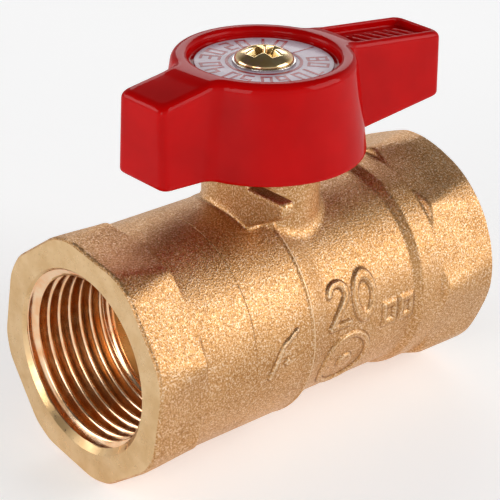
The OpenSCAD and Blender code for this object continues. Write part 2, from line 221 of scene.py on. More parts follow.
def body_field(x, y, z):
    """Outside of the forged body, before machining."""
    rho = np.hypot(y, z)
    radius = barrel_radius(x)
    near = (np.abs(rho - radius) < 1) & (y < 0)
    relief = np.zeros_like(rho)
    relief[near] = cast_marks(x[near], around(y[near], z[near]))
    barrel = rho - radius - relief
    share = ease(x, OUTLET_END_X, FACE_X)
    flats = octagon(y, z, OUTLET_NORMAL) - (OUTLET_FLAT_BACK + (OUTLET_FLAT - OUTLET_FLAT_BACK) * share)
    end = smax(flats, rho - OUTLET_CORNER_R, 0.3)
    shoulder = ((rho - COLLAR_R) - (x - OUTLET_END_X) / 0.6) * 0.51
    shape = smin(barrel, smax(end, shoulder, 0.4), 0.3)
    boss = np.maximum(smax(np.hypot(x, y) - BOSS_R, z - BOSS_TOP, 0.5), -z)
    shape = smin(smin(shape, boss, 1.15), lug(x, y, z), 0.55)
    return between(shape, x, -SEAM_X, FACE_X)


def lug(x, y, z):
    """Stop lug beside the boss, with the stop post on its root."""
    side = np.abs(x + BOSS_R - LUG_T / 2) - LUG_T / 2
    run, drop = LUG_REACH - LUG_HAUNCH_Y, LUG_TIP_LOW - LUG_HAUNCH_Z
    length = math.hypot(run, drop)
    under = -((y + LUG_REACH) * drop + (z - LUG_TIP_LOW) * run) / length
    arm = smax(smax(-LUG_REACH - y, z - LUG_TOP, 0.9), under, 0.9)
    arm = np.maximum(arm, np.maximum(y, 10 - z))
    post = np.maximum(np.maximum(-POST_REACH - y, y), np.maximum(z - POST_TOP, 10 - z))
    return smax(np.minimum(arm, post), side, 0.7)


def connector_field(x, y, z):
    """Outside of the end connector, before machining."""
    rho = np.hypot(y, z)
    share = ease(-x, INLET_END_X, FACE_X)
    flat = INLET_FLAT_BACK + (INLET_FLAT - INLET_FLAT_BACK) * share
    edge = np.maximum(-x - (FACE_X - INLET_CHAMFER), 0)
    end = smax(octagon(y, z, INLET_NORMAL) - flat, rho - INLET_CORNER_R, 0.3)
    shoulder = ((rho - BARREL_R) - (-x - INLET_END_X) / 0.35) * 0.33
    shape = smin(rho - BARREL_R, smax(end + edge, shoulder, 0.25), 0.25)
    return between(shape, x, -FACE_X, -SEAM_X)


def wing_plan(x, y, z, side, reach):
    """Outline of a wing seen from above, drafted from its bottom to its top."""
    share = (z - SKIRT_Z) / (HUB_TOP - SKIRT_Z)
    half = WING_LOW_HALF + (WING_TOP_HALF - WING_LOW_HALF) * share
    return smax(np.abs(y) - half, np.maximum(side * x - reach, -side * x), 1.3)


def handle_field(x, y, z):
    rho = np.hypot(x, y)
    share = (z - SKIRT_Z) / (HUB_TOP - SKIRT_Z)
    hub = rho - (HUB_LOW_R + (HUB_TOP_R - HUB_LOW_R) * share)
    wings = np.minimum(wing_plan(x, y, z, 1, LONG_REACH), wing_plan(x, y, z, -1, SHORT_REACH))
    plan = smin(hub, wings, 1.5)
    long_side = x > 0
    run = np.clip((np.abs(x) - HUB_TOP_R) / (np.where(long_side, LONG_REACH, SHORT_REACH) - HUB_TOP_R), 0, 1)
    wing_top = HUB_TOP - WING_STEP - np.where(long_side, LONG_DROP, SHORT_DROP) * run
    top = HUB_TOP + (wing_top - HUB_TOP) * ease(rho, HUB_TOP_R - 0.9, HUB_TOP_R + 2.6)
    bottom = SKIRT_Z + np.where(long_side, LONG_LIFT, SHORT_LIFT) * run
    shape = smax(smax(plan, z - top, 1.15), bottom - z, 0.7)
    shape = smax(shape, -smax(rho - RECESS_R, RECESS_Z - z, 0.3), 0.9)
    shape = smax(shape, -pocket(x, y, z, rho, wing_top), 0.45)
    return np.maximum(np.minimum(smax(shape, -hollows(x, y, z, rho, wing_top), 0.4),
                                 inside_parts(x, y, z, rho)), -drive_hole(x, y, z, rho))


def pocket(x, y, z, rho, wing_top):
    """Pocket in the long wing's top, less the generic raised bars on its floor."""
    hole = smax(np.abs(y) - (WING_TOP_HALF - POCKET_RIM), x - (LONG_REACH - POCKET_RIM), 0.8)
    hole = np.maximum(smax(hole, POCKET_START_R - rho, 0.8), -x)
    hole = smax(hole, wing_top - POCKET_H - z, 0.4)
    pitch = 2.0
    along = (x + 0.45 * y) % pitch - pitch / 2
    bar = smax(smax(np.abs(along) - 0.42, np.abs(y + 0.6) - 1.9, 0.3),
               np.abs(x - 22.3) - 5.6, 0.3)
    bar = smax(bar, z - (wing_top - POCKET_H + 0.55), 0.3)
    return smax(hole, -bar, 0.2)


def hollows(x, y, z, rho, wing_top):
    """Space under the hub and inside both wings, open below."""
    under_hub = np.maximum(rho - HOLLOW_R, z - (RECESS_Z - ROOF_T))
    reach = np.where(x > 0, LONG_REACH, SHORT_REACH) - WING_WALL
    under_wing = np.maximum(np.abs(y) - (WING_TOP_HALF - WING_WALL), np.abs(x) - reach)
    return np.minimum(under_hub, np.maximum(under_wing, z - (wing_top - POCKET_H - WING_WALL)))


def inside_parts(x, y, z, rho):
    """Socket round the stem and the two stop blocks."""
    roof = RECESS_Z - ROOF_T + 0.4
    socket = np.maximum(np.maximum(rho - SOCKET_R, SOCKET_Z - z), z - roof)
    ring_space = np.maximum(np.maximum(rho - HOLLOW_R - 0.1, BOSS_R + STOP_GAP - rho),
                            np.maximum(SKIRT_Z + STOP_BLOCK_LIFT - z, z - roof))
    open_stop = np.maximum(x + BOSS_R + STOP_GAP, np.abs(y + 2.25) - (POST_REACH - 2.25))
    shut_stop = np.maximum(POST_REACH + STOP_GAP - x, np.abs(y + BOSS_R / 2 + 1) - (BOSS_R / 2 - 1))
    return np.minimum(socket, np.maximum(ring_space, np.minimum(open_stop, shut_stop)))


def drive_hole(x, y, z, rho):
    """Flatted hole for the stem's end and the screw's hole over it."""
    flatted = np.maximum(np.maximum(rho - DRIVE_R, np.abs(x) - DRIVE_HALF), z - DRIVE_TOP)
    return np.minimum(flatted, rho - 2.3)


def screw_field(x, y, z):
    """Domed head with a cross recess, over its shank."""
    base, top = WASHER_HI[2], SCREW_HI[2]
    head_r, rim = SCREW_HI[1], 0.4
    dome_h = top - base - rim
    dome_r = (head_r ** 2 + dome_h ** 2) / (2 * dome_h)
    rho = np.hypot(x, y)
    dome = np.hypot(rho, z - (top - dome_r)) - dome_r
    head = smax(smax(rho - head_r, dome, 0.5), base - z, 0.25)
    depth = (top - z) / CROSS_H
    half = 0.95 - 0.4 * depth
    reach = 3.0 - 1.3 * depth
    arm_x = np.maximum(np.abs(y) - half, np.abs(x) - reach)
    arm_y = np.maximum(np.abs(x) - half, np.abs(y) - reach)
    cross = np.maximum(smin(arm_x, arm_y, 0.4), (top - CROSS_H) - z)
    shank = np.maximum(np.maximum(rho - 2, z - base - 0.3), SCREW_LO[2] - z)
    return np.minimum(smax(head, -cross, 0.22), shank)


# ================================================================ meshes
def surface_points(values, cells, axes):
    """One point per crossed cell: the middle of where the surface crosses its edges."""
    corners = [(i, j, k) for i in (0, 1) for j in (0, 1) for k in (0, 1)]
    total, count = np.zeros((len(cells), 3)), np.zeros(len(cells))
    for a in corners:
        for axis in range(3):
            if a[axis]:
                continue
            b = tuple(c + (n == axis) for n, c in enumerate(a))
            va = values[tuple((cells + a).T)]
            vb = values[tuple((cells + b).T)]
            crossed = (va < 0) != (vb < 0)
            t = np.where(crossed, va / np.where(crossed, va - vb, 1), 0)
            point = np.array(a, float)[None, :].repeat(len(cells), 0)
            point[:, axis] += t
            total += point * crossed[:, None]
            count += crossed
    start = np.array([axis[0] for axis in axes])
    step = np.array([axis[1] - axis[0] for axis in axes])
    return start + (cells + total / count[:, None]) * step


def surface_quads(inside, index):
    """Four-sided faces round every grid edge that the surface crosses."""
    faces = []
    for axis in range(3):
        u, v = (axis + 1) % 3, (axis + 2) % 3
        first = np.moveaxis(inside, (axis, u, v), (0, 1, 2))
        cell = np.moveaxis(index, (axis, u, v), (0, 1, 2))
        low, high = first[:-1, 1:-1, 1:-1], first[1:, 1:-1, 1:-1]
        for crossed, order in ((low & ~high, (0, 1, 2, 3)), (~low & high, (3, 2, 1, 0))):
            i, j, k = np.nonzero(crossed)
            ring4 = [cell[i, j, k], cell[i, j + 1, k], cell[i, j + 1, k + 1], cell[i, j, k + 1]]
            faces.append(np.stack([ring4[n] for n in order], 1))
    return np.concatenate(faces)


def part_corners(values):
    """Fills grid squares whose corners alternate in and out, where a surface would touch itself."""
    for _ in range(8):
        inside = values < 0
        fill = np.zeros_like(inside)
        for u, v in ((0, 1), (1, 2), (0, 2)):
            view, out = (np.moveaxis(part, (u, v), (0, 1)) for part in (inside, fill))
            a, b, c, d = view[:-1, :-1], view[1:, :-1], view[:-1, 1:], view[1:, 1:]
            out[1:, :-1] |= a & d & ~b & ~c
            out[:-1, :-1] |= ~a & ~d & b & c
        values[fill] = -0.001
        if not fill.any():
            break
    return values


def net_mesh(name, field, lo, hi, step):
    """Meshes a distance function's surface, then moves each point onto the true surface."""
    axes = [np.arange(a - 2 * step, b + 3 * step, step) for a, b in zip(lo, hi)]
    values = part_corners(field(*np.meshgrid(*axes, indexing="ij")))
    inside = values < 0
    count = sum(inside[i:i - 1 or None, j:j - 1 or None, k:k - 1 or None].astype(np.int8)
                for i in (0, 1) for j in (0, 1) for k in (0, 1))
    cells = np.argwhere((count > 0) & (count < 8))
    index = np.full(count.shape, -1, np.int64)
    index[tuple(cells.T)] = np.arange(len(cells))
    points = surface_points(values, cells, axes)
    for _ in range(3):
        points = points - onto_surface(field, points, step / 2)
    return mesh_object(name, points, surface_quads(inside, index))


def onto_surface(field, points, limit):
    h = 0.01
    slope = np.stack([(field(*(points + d).T) - field(*(points - d).T)) / (2 * h)
                      for d in np.eye(3) * h], 1)
    move = (field(*points.T) / np.maximum((slope ** 2).sum(1), 0.2))[:, None] * slope
    return np.clip(move, -limit, limit)


def mesh_object(name, points_mm, faces):
    mesh = bpy.data.meshes.new(name)
    points = (np.asarray(points_mm, float) + CENTRE) * MM
    mesh.from_pydata(points.tolist(), [], [list(map(int, f)) for f in faces])
    obj = bpy.data.objects.new(name, mesh)
    bpy.context.scene.collection.objects.link(obj)
    tidy_mesh(obj)
    return obj


def tidy_mesh(obj):
    """Merges doubled points and turns every face outwards."""
    bm = bmesh.new()
    bm.from_mesh(obj.data)
    bmesh.ops.remove_doubles(bm, verts=bm.verts, dist=1e-8)
    bmesh.ops.dissolve_degenerate(bm, edges=bm.edges, dist=1e-8)
    if bm.calc_volume(signed=True) < 0:
        bmesh.ops.reverse_faces(bm, faces=bm.faces)
    bm.to_mesh(obj.data)
    bm.free()


def lathe(name, profile, axis="x", side=1, closed=False):
    """Turns a profile of (along, radius) points about the flow axis or the stem axis."""
    angles = np.arange(ROUND) * 2 * math.pi / ROUND
    points, rows = [], []
    for along, radius in profile:
        ring_angles = angles if radius > 0 else angles[:1]
        rows.append([len(points) + n for n in range(len(ring_angles))])
        for t in ring_angles:
            a, b = radius * math.cos(t), radius * math.sin(t)
            points.append((side * along, a, b) if axis == "x" else (a, b, along))
    pairs = list(zip(rows, rows[1:] + rows[:1])) if closed else list(zip(rows, rows[1:]))
    faces = []
    for one, two in pairs:
        for n in range(ROUND):
            m = (n + 1) % ROUND
            if len(one) > 1 and len(two) > 1:
                faces.append((one[n], one[m], two[m], two[n]))
            elif len(one) > 1:
                faces.append((one[n], one[m], two[0]))
            elif len(two) > 1:
                faces.append((one[0], two[m], two[n]))
    return mesh_object(name, points, faces)


def rounded(profile, radius, closed=False, steps=4):
    """A profile with each inner corner replaced by a short arc."""
    pts = [np.array(p, float) for p in profile]
    out = []
    for n, p in enumerate(pts):
        if not closed and n in (0, len(pts) - 1):
            out.append(tuple(p))
            continue
        before, after = pts[n - 1], pts[(n + 1) % len(pts)]
        r = min(radius, np.linalg.norm(before - p) / 2.2, np.linalg.norm(after - p) / 2.2)
        start = p + (before - p) / np.linalg.norm(before - p) * r
        end = p + (after - p) / np.linalg.norm(after - p) * r
        for s in np.linspace(0, 1, steps + 1):
            out.append(tuple((1 - s) ** 2 * start + 2 * s * (1 - s) * p + s * s * end))
    return out


def tap(side):
    """Cutter for one port: the helical thread with the mouth's chamfer, open past the face."""
    rows_per_turn = 22
    end_x = FACE_X + 0.5
    turns = math.ceil((end_x - THREAD_END_X) / PITCH) + 2
    rows = rows_per_turn * turns
    grid = np.arange(rows + 1)[:, None]
    turn = np.arange(ROUND)[None, :] / ROUND
    x = np.clip(THREAD_END_X + (grid / rows_per_turn - 1 + turn) * PITCH, THREAD_END_X, end_x)
    off = np.abs((grid / rows_per_turn) % 1 - 0.5) * PITCH
    depth = GROOVE_H * (1 - ease(off, 0, PITCH / 2))
    radius = CREST_R + depth * ease(x, THREAD_END_X, THREAD_END_X + PITCH)
    radius = np.maximum(radius, MOUTH_R + (x - FACE_X))
    angle = 2 * math.pi * turn
    points = np.stack([side * x, radius * np.cos(angle), radius * np.sin(angle)], -1).reshape(-1, 3)
    faces = []
    for i in range(rows):
        for j in range(ROUND):
            step, m = (0, j + 1) if j < ROUND - 1 else (rows_per_turn, 0)
            if i + step + 1 <= rows:
                faces.append((i * ROUND + j, (i + step) * ROUND + m,
                              (i + step + 1) * ROUND + m, (i + 1) * ROUND + j))
    middle = len(points)
    points = np.vstack([points, [(side * THREAD_END_X, 0, 0), (side * end_x, 0, 0)]])
    for j in range(ROUND):
        m = (j + 1) % ROUND
        faces.append((middle, m, j))
        faces.append((middle + 1, rows * ROUND + j, rows * ROUND + m))
    return mesh_object("tap", points, faces)


def open_edges(obj):
    """How many of a mesh's edges don't have exactly two faces."""
    mesh = obj.data
    used = np.zeros(len(mesh.loops), np.int32)
    mesh.loops.foreach_get("edge_index", used)
    return int((np.bincount(used, minlength=len(mesh.edges)) != 2).sum())


def combine(obj, other, operation):
    """Cuts, joins or intersects obj with another closed solid, and removes that one."""
    for solid in (obj, other):
        if open_edges(solid):
            raise RuntimeError(f"{solid.name} is not a closed solid, so it can't be combined")
    mod = obj.modifiers.new("combine", "BOOLEAN")
    mod.operation, mod.solver, mod.object = operation, "MANIFOLD", other
    graph = bpy.context.evaluated_depsgraph_get()
    result = bpy.data.meshes.new_from_object(obj.evaluated_get(graph))
    obj.modifiers.clear()
    if not len(result.polygons):
        raise RuntimeError(f"the solid {obj.name} was lost when combined with {other.name}")
    obj.data = result
    bpy.data.objects.remove(other)


def paint_faces(obj, materials, choose):
    """Gives each face the material whose number choose() returns for its middle, in millimetres."""
    mesh = obj.data
    mesh.materials.clear()
    for material in materials:
        mesh.materials.append(material)
    count = len(mesh.polygons)
    centre, normal = np.zeros(count * 3), np.zeros(count * 3)
    mesh.polygons.foreach_get("center", centre)
    mesh.polygons.foreach_get("normal", normal)
    picked = choose(centre.reshape(-1, 3) / MM - CENTRE, normal.reshape(-1, 3))
    mesh.polygons.foreach_set("material_index", np.asarray(picked, np.int32))
    shade(obj)


def paint_all(obj, material):
    paint_faces(obj, [material], lambda middle, normal: np.zeros(len(middle)))


def mark_edges(obj, field, reach=0.3, sharp=2.2):
    """Keeps how the shape bends at each point: 1 on an outer edge, 0 where flat, -1 in a corner."""
    count = len(obj.data.vertices)
    points = np.zeros(count * 3)
    obj.data.vertices.foreach_get("co", points)
    points = points.reshape(-1, 3) / MM - CENTRE
    around_point = sum(field(*(points + d).T) + field(*(points - d).T) for d in np.eye(3) * reach)
    bend = (around_point - 6 * field(*points.T)) / reach / sharp
    made = obj.data.attributes.new("edge", "FLOAT", "POINT")
    made.data.foreach_set("value", np.clip(bend, -1, 1).astype(np.float32))


def shade(obj, angle=33):
    obj.data.polygons.foreach_set("use_smooth", [True] * len(obj.data.polygons))
    obj.data.set_sharp_from_angle(angle=math.radians(angle))
    obj.data.update()


# ================================================================ materials
class Nodes:
    """Short ways to build one material's nodes, in object coordinates."""

    def __init__(self, name, colour, roughness, metallic=0.0):
        self.mat = bpy.data.materials.new(name)
        self.mat.use_nodes = True
        self.tree = self.mat.node_tree
        self.shader = self.tree.nodes["Principled BSDF"]
        self.shader.inputs["Base Color"].default_value = (*colour, 1)
        self.shader.inputs["Roughness"].default_value = roughness
        self.shader.inputs["Metallic"].default_value = metallic
        self.coords = self.tree.nodes.new("ShaderNodeTexCoord").outputs["Object"]
        self.normal = None

    def node(self, kind, **values):
        made = self.tree.nodes.new(kind)
        for key, value in values.items():
            made.inputs[key.replace("_", " ")].default_value = value
        return made

    def link(self, a, b):
        self.tree.links.new(a, b)

    def noise(self, size_mm, detail=2.0, roughness=0.5):
        made = self.node("ShaderNodeTexNoise", Scale=1 / (size_mm * MM), Detail=detail, Roughness=roughness)
        self.link(self.coords, made.inputs["Vector"])
        return made.outputs["Fac"]

    def cells(self, size_mm):
        made = self.node("ShaderNodeTexVoronoi", Scale=1 / (size_mm * MM))
        self.link(self.coords, made.inputs["Vector"])
        return made.outputs["Distance"]

    def radius(self, axis):
        """Distance in metres from the flow axis (x) or the stem axis (z)."""
        move = self.node("ShaderNodeVectorMath")
        move.operation = "SUBTRACT"
        move.inputs[1].default_value = (0, 0, CENTRE[2] * MM) if axis == "x" else (0, 0, 0)
        keep = self.node("ShaderNodeVectorMath")
        keep.operation = "MULTIPLY"
        keep.inputs[1].default_value = (0, 1, 1) if axis == "x" else (1, 1, 0)
        size = self.node("ShaderNodeVectorMath")
        size.operation = "LENGTH"
        self.link(self.coords, move.inputs[0])
        self.link(move.outputs[0], keep.inputs[0])
        self.link(keep.outputs[0], size.inputs[0])
        return size.outputs["Value"]

    def lines(self, value, spacing_mm):
        """Fine lines that follow a value, such as turning marks."""
        scaled = self.math("MULTIPLY", value, 2 * math.pi / (spacing_mm * MM))
        return self.math("SINE", scaled)

    def bend(self, start, end, most=1.0):
        """0 to most as the bend that mark_edges() kept goes from start to end."""
        made = self.node("ShaderNodeAttribute")
        made.attribute_name = "edge"
        return self.spread(made.outputs["Fac"], start, end, 0, most)

    def math(self, operation, a, b=None):
        made = self.node("ShaderNodeMath")
        made.operation = operation
        for n, value in enumerate((a, b)):
            if isinstance(value, (int, float)):
                made.inputs[n].default_value = value
            elif value is not None:
                self.link(value, made.inputs[n])
        return made.outputs[0]

    def spread(self, value, low, high, to_low, to_high):
        made = self.node("ShaderNodeMapRange", From_Min=low, From_Max=high, To_Min=to_low, To_Max=to_high)
        self.link(value, made.inputs["Value"])
        return made.outputs["Result"]

    def mix(self, share, a, b):
        """Mixes two colours; each is a colour or a node's output."""
        made = self.node("ShaderNodeMix")
        made.data_type = "RGBA"
        self.link(share, made.inputs["Factor"])
        for socket, value in ((made.inputs[6], a), (made.inputs[7], b)):
            if isinstance(value, tuple):
                socket.default_value = (*value, 1)
            else:
                self.link(value, socket)
        return made.outputs[2]

    def bump(self, height, strength, depth_mm):
        made = self.node("ShaderNodeBump", Strength=strength, Distance=depth_mm * MM)
        self.link(height, made.inputs["Height"])
        if self.normal is not None:
            self.link(self.normal, made.inputs["Normal"])
        self.normal = made.outputs["Normal"]

    def done(self, colour=None, roughness=None):
        if colour is not None:
            self.link(colour, self.shader.inputs["Base Color"])
        if roughness is not None:
            self.link(roughness, self.shader.inputs["Roughness"])
        if self.normal is not None:
            self.link(self.normal, self.shader.inputs["Normal"])
        return self.mat


def forged_brass():
    """Sand-rough brass: random tone, grain tips painted light as a sparkle highlight and pits painted dark
    as shade, a painted highlight on outer edges and painted shade in inner corners.
    """
    n = Nodes("forged_brass", (0.68, 0.42, 0.18), 0.42, 1.0)
    grain, patches = n.noise(0.24, 2, 0.6), n.noise(7, 3)
    colour = n.mix(n.spread(patches, 0.35, 0.65, 0, 1), (0.55, 0.29, 0.105), (0.65, 0.36, 0.145))
    # Grain tone: the dark pits are painted shade, the light tips a painted sparkle highlight.
    colour = n.mix(n.spread(grain, 0.34, 0.5, 0.55, 0), colour, (0.24, 0.09, 0.025))
    colour = n.mix(n.spread(grain, 0.52, 0.66, 0, 0.6), colour, (0.96, 0.80, 0.62))
    # Painted highlight on outer edges and painted shade in inner corners, from the bend that mark_edges()
    # kept.
    colour = n.mix(n.bend(0.3, 1, 0.85), colour, (0.97, 0.78, 0.54))
    colour = n.mix(n.bend(-0.12, -0.7, 0.85), colour, (0.20, 0.08, 0.025))
    n.bump(n.noise(1.6, 2), 0.3, 0.06)
    n.bump(grain, 0.9, 0.075)
    n.bump(n.cells(0.28), 0.4, 0.03)
    return n.done(colour, n.spread(n.noise(0.5, 2), 0.3, 0.7, 0.38, 0.58))


def machined_brass():
    n = Nodes("machined_brass", (0.86, 0.67, 0.47), 0.32, 1.0)
    turning = n.lines(n.radius("x"), 0.16)
    colour = n.mix(n.spread(n.noise(3, 3), 0.35, 0.65, 0, 1), (0.68, 0.44, 0.21), (0.78, 0.54, 0.29))
    colour = n.mix(n.spread(n.noise(0.5, 4), 0.28, 0.38, 0.5, 0), colour, (0.45, 0.27, 0.14))
    n.bump(turning, 0.12, 0.006)
    n.bump(n.noise(0.4, 3), 0.12, 0.02)
    return n.done(colour, n.spread(n.noise(1.2, 3), 0.3, 0.7, 0.24, 0.40))


def thread_brass():
    n = Nodes("thread_brass", (0.90, 0.58, 0.32), 0.24, 1.0)
    colour = n.mix(n.spread(n.noise(2.2, 3), 0.35, 0.65, 0, 1), (0.90, 0.50, 0.25), (0.97, 0.68, 0.44))
    n.bump(n.lines(n.radius("x"), 0.11), 0.1, 0.005)
    n.bump(n.noise(1.8, 2), 0.1, 0.03)
    return n.done(colour, n.spread(n.noise(1.1, 2), 0.3, 0.7, 0.13, 0.24))


def red_paint():
    """Thick glossy paint, with a painted highlight on outer edges and painted shade in inner corners."""
    n = Nodes("red_paint", (0.50, 0.001, 0.0015), 0.4)
    n.shader.inputs["Specular IOR Level"].default_value = 0.0
    n.shader.inputs["Coat Weight"].default_value = 0.38
    n.shader.inputs["Coat Roughness"].default_value = 0.03
    n.shader.inputs["Coat IOR"].default_value = 1.36
    colour = n.mix(n.spread(n.noise(6, 2), 0.35, 0.65, 0, 1), (0.43, 0.0008, 0.001), (0.50, 0.0012, 0.0015))
    # Painted highlight on outer edges and painted shade in inner corners, from the bend that mark_edges()
    # kept.
    colour = n.mix(n.bend(0.25, 1, 0.6), colour, (0.66, 0.03, 0.03))
    colour = n.mix(n.bend(-0.2, -0.8, 0.5), colour, (0.22, 0.0005, 0.0008))
    n.bump(n.noise(1.5, 2), 0.2, 0.05)
    n.bump(n.noise(0.3, 2), 0.06, 0.01)
    return n.done(colour, n.spread(n.noise(2.5, 3), 0.3, 0.7, 0.32, 0.48))


def yellow_zinc():
    n = Nodes("yellow_zinc", (0.93, 0.70, 0.30), 0.15, 1.0)
    colour = n.mix(n.spread(n.noise(2.4, 2), 0.4, 0.6, 0, 1), (0.90, 0.60, 0.26), (0.95, 0.74, 0.40))
    colour = n.mix(n.spread(n.noise(1.3, 2), 0.52, 0.68, 0, 0.8), colour, (0.95, 0.58, 0.42))
    n.bump(n.noise(0.5, 3), 0.1, 0.02)
    return n.done(colour, n.spread(n.noise(0.7, 3), 0.3, 0.7, 0.09, 0.22))


def plain_metal(name, dark, light, low, high, size_mm=0.8):
    """Steel and chrome: a slightly uneven metal with fine handling marks."""
    n = Nodes(name, light, (low + high) / 2, 1.0)
    colour = n.mix(n.spread(n.noise(size_mm * 3, 3), 0.35, 0.65, 0, 1), dark, light)
    n.bump(n.noise(size_mm, 3), 0.08, 0.02)
    return n.done(colour, n.spread(n.noise(size_mm, 4), 0.3, 0.7, low, high))


def turned_brass():
    n = Nodes("turned_brass", (0.84, 0.60, 0.32), 0.25, 1.0)
    colour = n.mix(n.spread(n.noise(2, 3), 0.35, 0.65, 0, 1), (0.76, 0.52, 0.27), (0.87, 0.66, 0.38))
    n.bump(n.lines(n.radius("z"), 0.15), 0.1, 0.006)
    return n.done(colour, n.spread(n.noise(0.9, 3), 0.3, 0.7, 0.18, 0.34))


def soft_plastic(name, dark, light, roughness, grain_mm):
    """PTFE and rubber: matt, with a fine grain and slightly uneven colour."""
    n = Nodes(name, light, roughness)
    colour = n.mix(n.spread(n.noise(grain_mm * 8, 3), 0.35, 0.65, 0, 1), dark, light)
    n.bump(n.noise(grain_mm, 3), 0.2, 0.02)
    return n.done(colour, n.spread(n.noise(grain_mm * 2, 3), 0.3, 0.7, roughness - 0.08, roughness + 0.1))


def label_film(name, dark, light):
    """Printed film under a clear gloss coat."""
    n = Nodes(name, light, 0.3)
    n.shader.inputs["Coat Weight"].default_value = 0.12
    n.shader.inputs["Specular IOR Level"].default_value = 0.15
    n.shader.inputs["Coat Roughness"].default_value = 0.05
    colour = n.mix(n.spread(n.noise(4, 3), 0.35, 0.65, 0, 1), dark, light)
    n.bump(n.noise(2.5, 2), 0.1, 0.04)
    return n.done(colour, n.spread(n.noise(1.5, 2), 0.3, 0.7, 0.22, 0.36))


FORGED, MACHINED, THREAD = forged_brass(), machined_brass(), thread_brass()
TURNED, RED, ZINC = turned_brass(), red_paint(), yellow_zinc()
STEEL = plain_metal("plain_steel", (0.52, 0.51, 0.49), (0.70, 0.69, 0.67), 0.16, 0.32)
CHROME = plain_metal("chrome_plate", (0.62, 0.62, 0.63), (0.80, 0.80, 0.81), 0.05, 0.12)
PTFE = soft_plastic("ptfe", (0.78, 0.78, 0.75), (0.88, 0.88, 0.86), 0.42, 0.3)
RUBBER = soft_plastic("seal_rubber", (0.014, 0.014, 0.015), (0.028, 0.028, 0.03), 0.55, 0.25)
LABEL = label_film("label_white", (0.60, 0.50, 0.59), (0.68, 0.57, 0.66))
PRINT = label_film("label_print", (0.32, 0.002, 0.012), (0.42, 0.005, 0.02))


# ================================================================ pieces
def finish_piece(obj, node, body):
    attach(obj, body)
    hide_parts(node)


def envelope(name, back_x, back_r, back_bevel, face_r, face_chamfer, side):
    """Everything a machined piece may fill: flat at both ends, with a bevel round each end."""
    far = 45
    return lathe(name, [
        (back_x, 0), (back_x, back_r - back_bevel), (back_x + back_bevel, back_r),
        (back_x + back_bevel + 0.02, far), (FACE_X - face_chamfer - 0.02, far),
        (FACE_X - face_chamfer, face_r), (FACE_X, face_r - face_chamfer), (FACE_X, 0)], side=side)


def port_and_seat_bore(side, front_x):
    """Cutter from the ball's cavity through the seat pocket and the throat to the thread's runout."""
    return lathe("bore", [
        (front_x, 0), (front_x, SEAT_R + FIT), (SEAT_BACK, SEAT_R + FIT), (SEAT_BACK, BORE_R),
        (RUNOUT_X - 0.5, BORE_R), (RUNOUT_X, BORE_R + 0.5), (RUNOUT_X, RUNOUT_R),
        (THREAD_END_X + 0.1, RUNOUT_R), (THREAD_END_X + 0.1, 0)], side=side)


def choose_surface(field):
    """Forged where the outside still has its forged shape, thread in the port, else machined.

    The chamfer at the port's mouth counts as machined.
    """
    def choose(middle, normal):
        x, y, z = middle.T
        rho = np.hypot(y, z)
        picked = np.where(np.abs(field(x, y, z)) < 0.06, 0, 1)
        flat_end = (np.abs(normal[:, 0]) > 0.9) & (np.abs(np.abs(x) - FACE_X) < 0.05)
        picked[flat_end] = 1
        in_port = (rho < MOUTH_R - 0.05) & (np.abs(x) > THREAD_END_X - 0.2) & ~flat_end
        chamfer = np.abs((MOUTH_R - rho) - (FACE_X - np.abs(x))) < 0.04
        return np.where(in_port & ~chamfer, 2, picked)
    return choose


def make_body():
    lo = (-SEAM_X - 1, -OUTLET_CORNER_R, -OUTLET_CORNER_R)
    hi = (FACE_X + 1, OUTLET_CORNER_R, POST_TOP)
    obj = net_mesh("valve_body", body_field, lo, hi, GRID)
    combine(obj, envelope("ends", -SEAM_X, BARREL_R, SEAM_BEVEL, OUTLET_CORNER_R + 0.05,
                          OUTLET_CHAMFER, 1), "INTERSECT")
    combine(obj, lathe("cavity", [
        (-SEAM_X - 2, 0), (-SEAM_X - 2, JOINT_R), (-NOSE_X + 0.3, JOINT_R),
        (-NOSE_X + 0.3, CAVITY_R), (SEAT_FRONT, CAVITY_R), (SEAT_FRONT, 0)]), "DIFFERENCE")
    combine(obj, port_and_seat_bore(1, 0), "DIFFERENCE")
    combine(obj, tap(1), "DIFFERENCE")
    combine(obj, lathe("stem_bore", [
        (0, 0), (0, SHOULDER_R + 0.3), (GLAND_Z, SHOULDER_R + 0.3), (GLAND_Z, STEM_R + FIT),
        (BOSS_TOP - 0.3, STEM_R + FIT), (BOSS_TOP + 1, STEM_R + 1.3), (BOSS_TOP + 1, 0)],
        axis="z"), "DIFFERENCE")
    mark_edges(obj, body_field)
    paint_faces(obj, [FORGED, MACHINED, THREAD], choose_surface(body_field))
    finish_piece(obj, "body", "valve_body")


def make_connector():
    r = INLET_CORNER_R
    obj = net_mesh("end_connector_forging", connector_field, (-FACE_X - 1, -r, -r),
                   (-SEAM_X + 1, r, r), GRID)
    combine(obj, envelope("ends", SEAM_X, BARREL_R, SEAM_BEVEL, r, INLET_CHAMFER, -1), "INTERSECT")
    groove_r = JOINT_R - SEAL_CORD - FIT
    combine(obj, lathe("nose", [
        (NOSE_X, 0), (NOSE_X, JOINT_R - FIT - 0.4), (NOSE_X + 0.4, JOINT_R - FIT),
        (SEAM_X - SEAL_GROOVE_W, JOINT_R - FIT), (SEAM_X - SEAL_GROOVE_W, groove_r),
        (SEAM_X + 0.5, groove_r), (SEAM_X + 0.5, 0)], side=-1), "UNION")
    combine(obj, port_and_seat_bore(-1, 0), "DIFFERENCE")
    combine(obj, tap(-1), "DIFFERENCE")
    mark_edges(obj, connector_field)
    paint_faces(obj, [FORGED, MACHINED, THREAD], choose_surface(connector_field))
    finish_piece(obj, "end_connector", "valve_body")


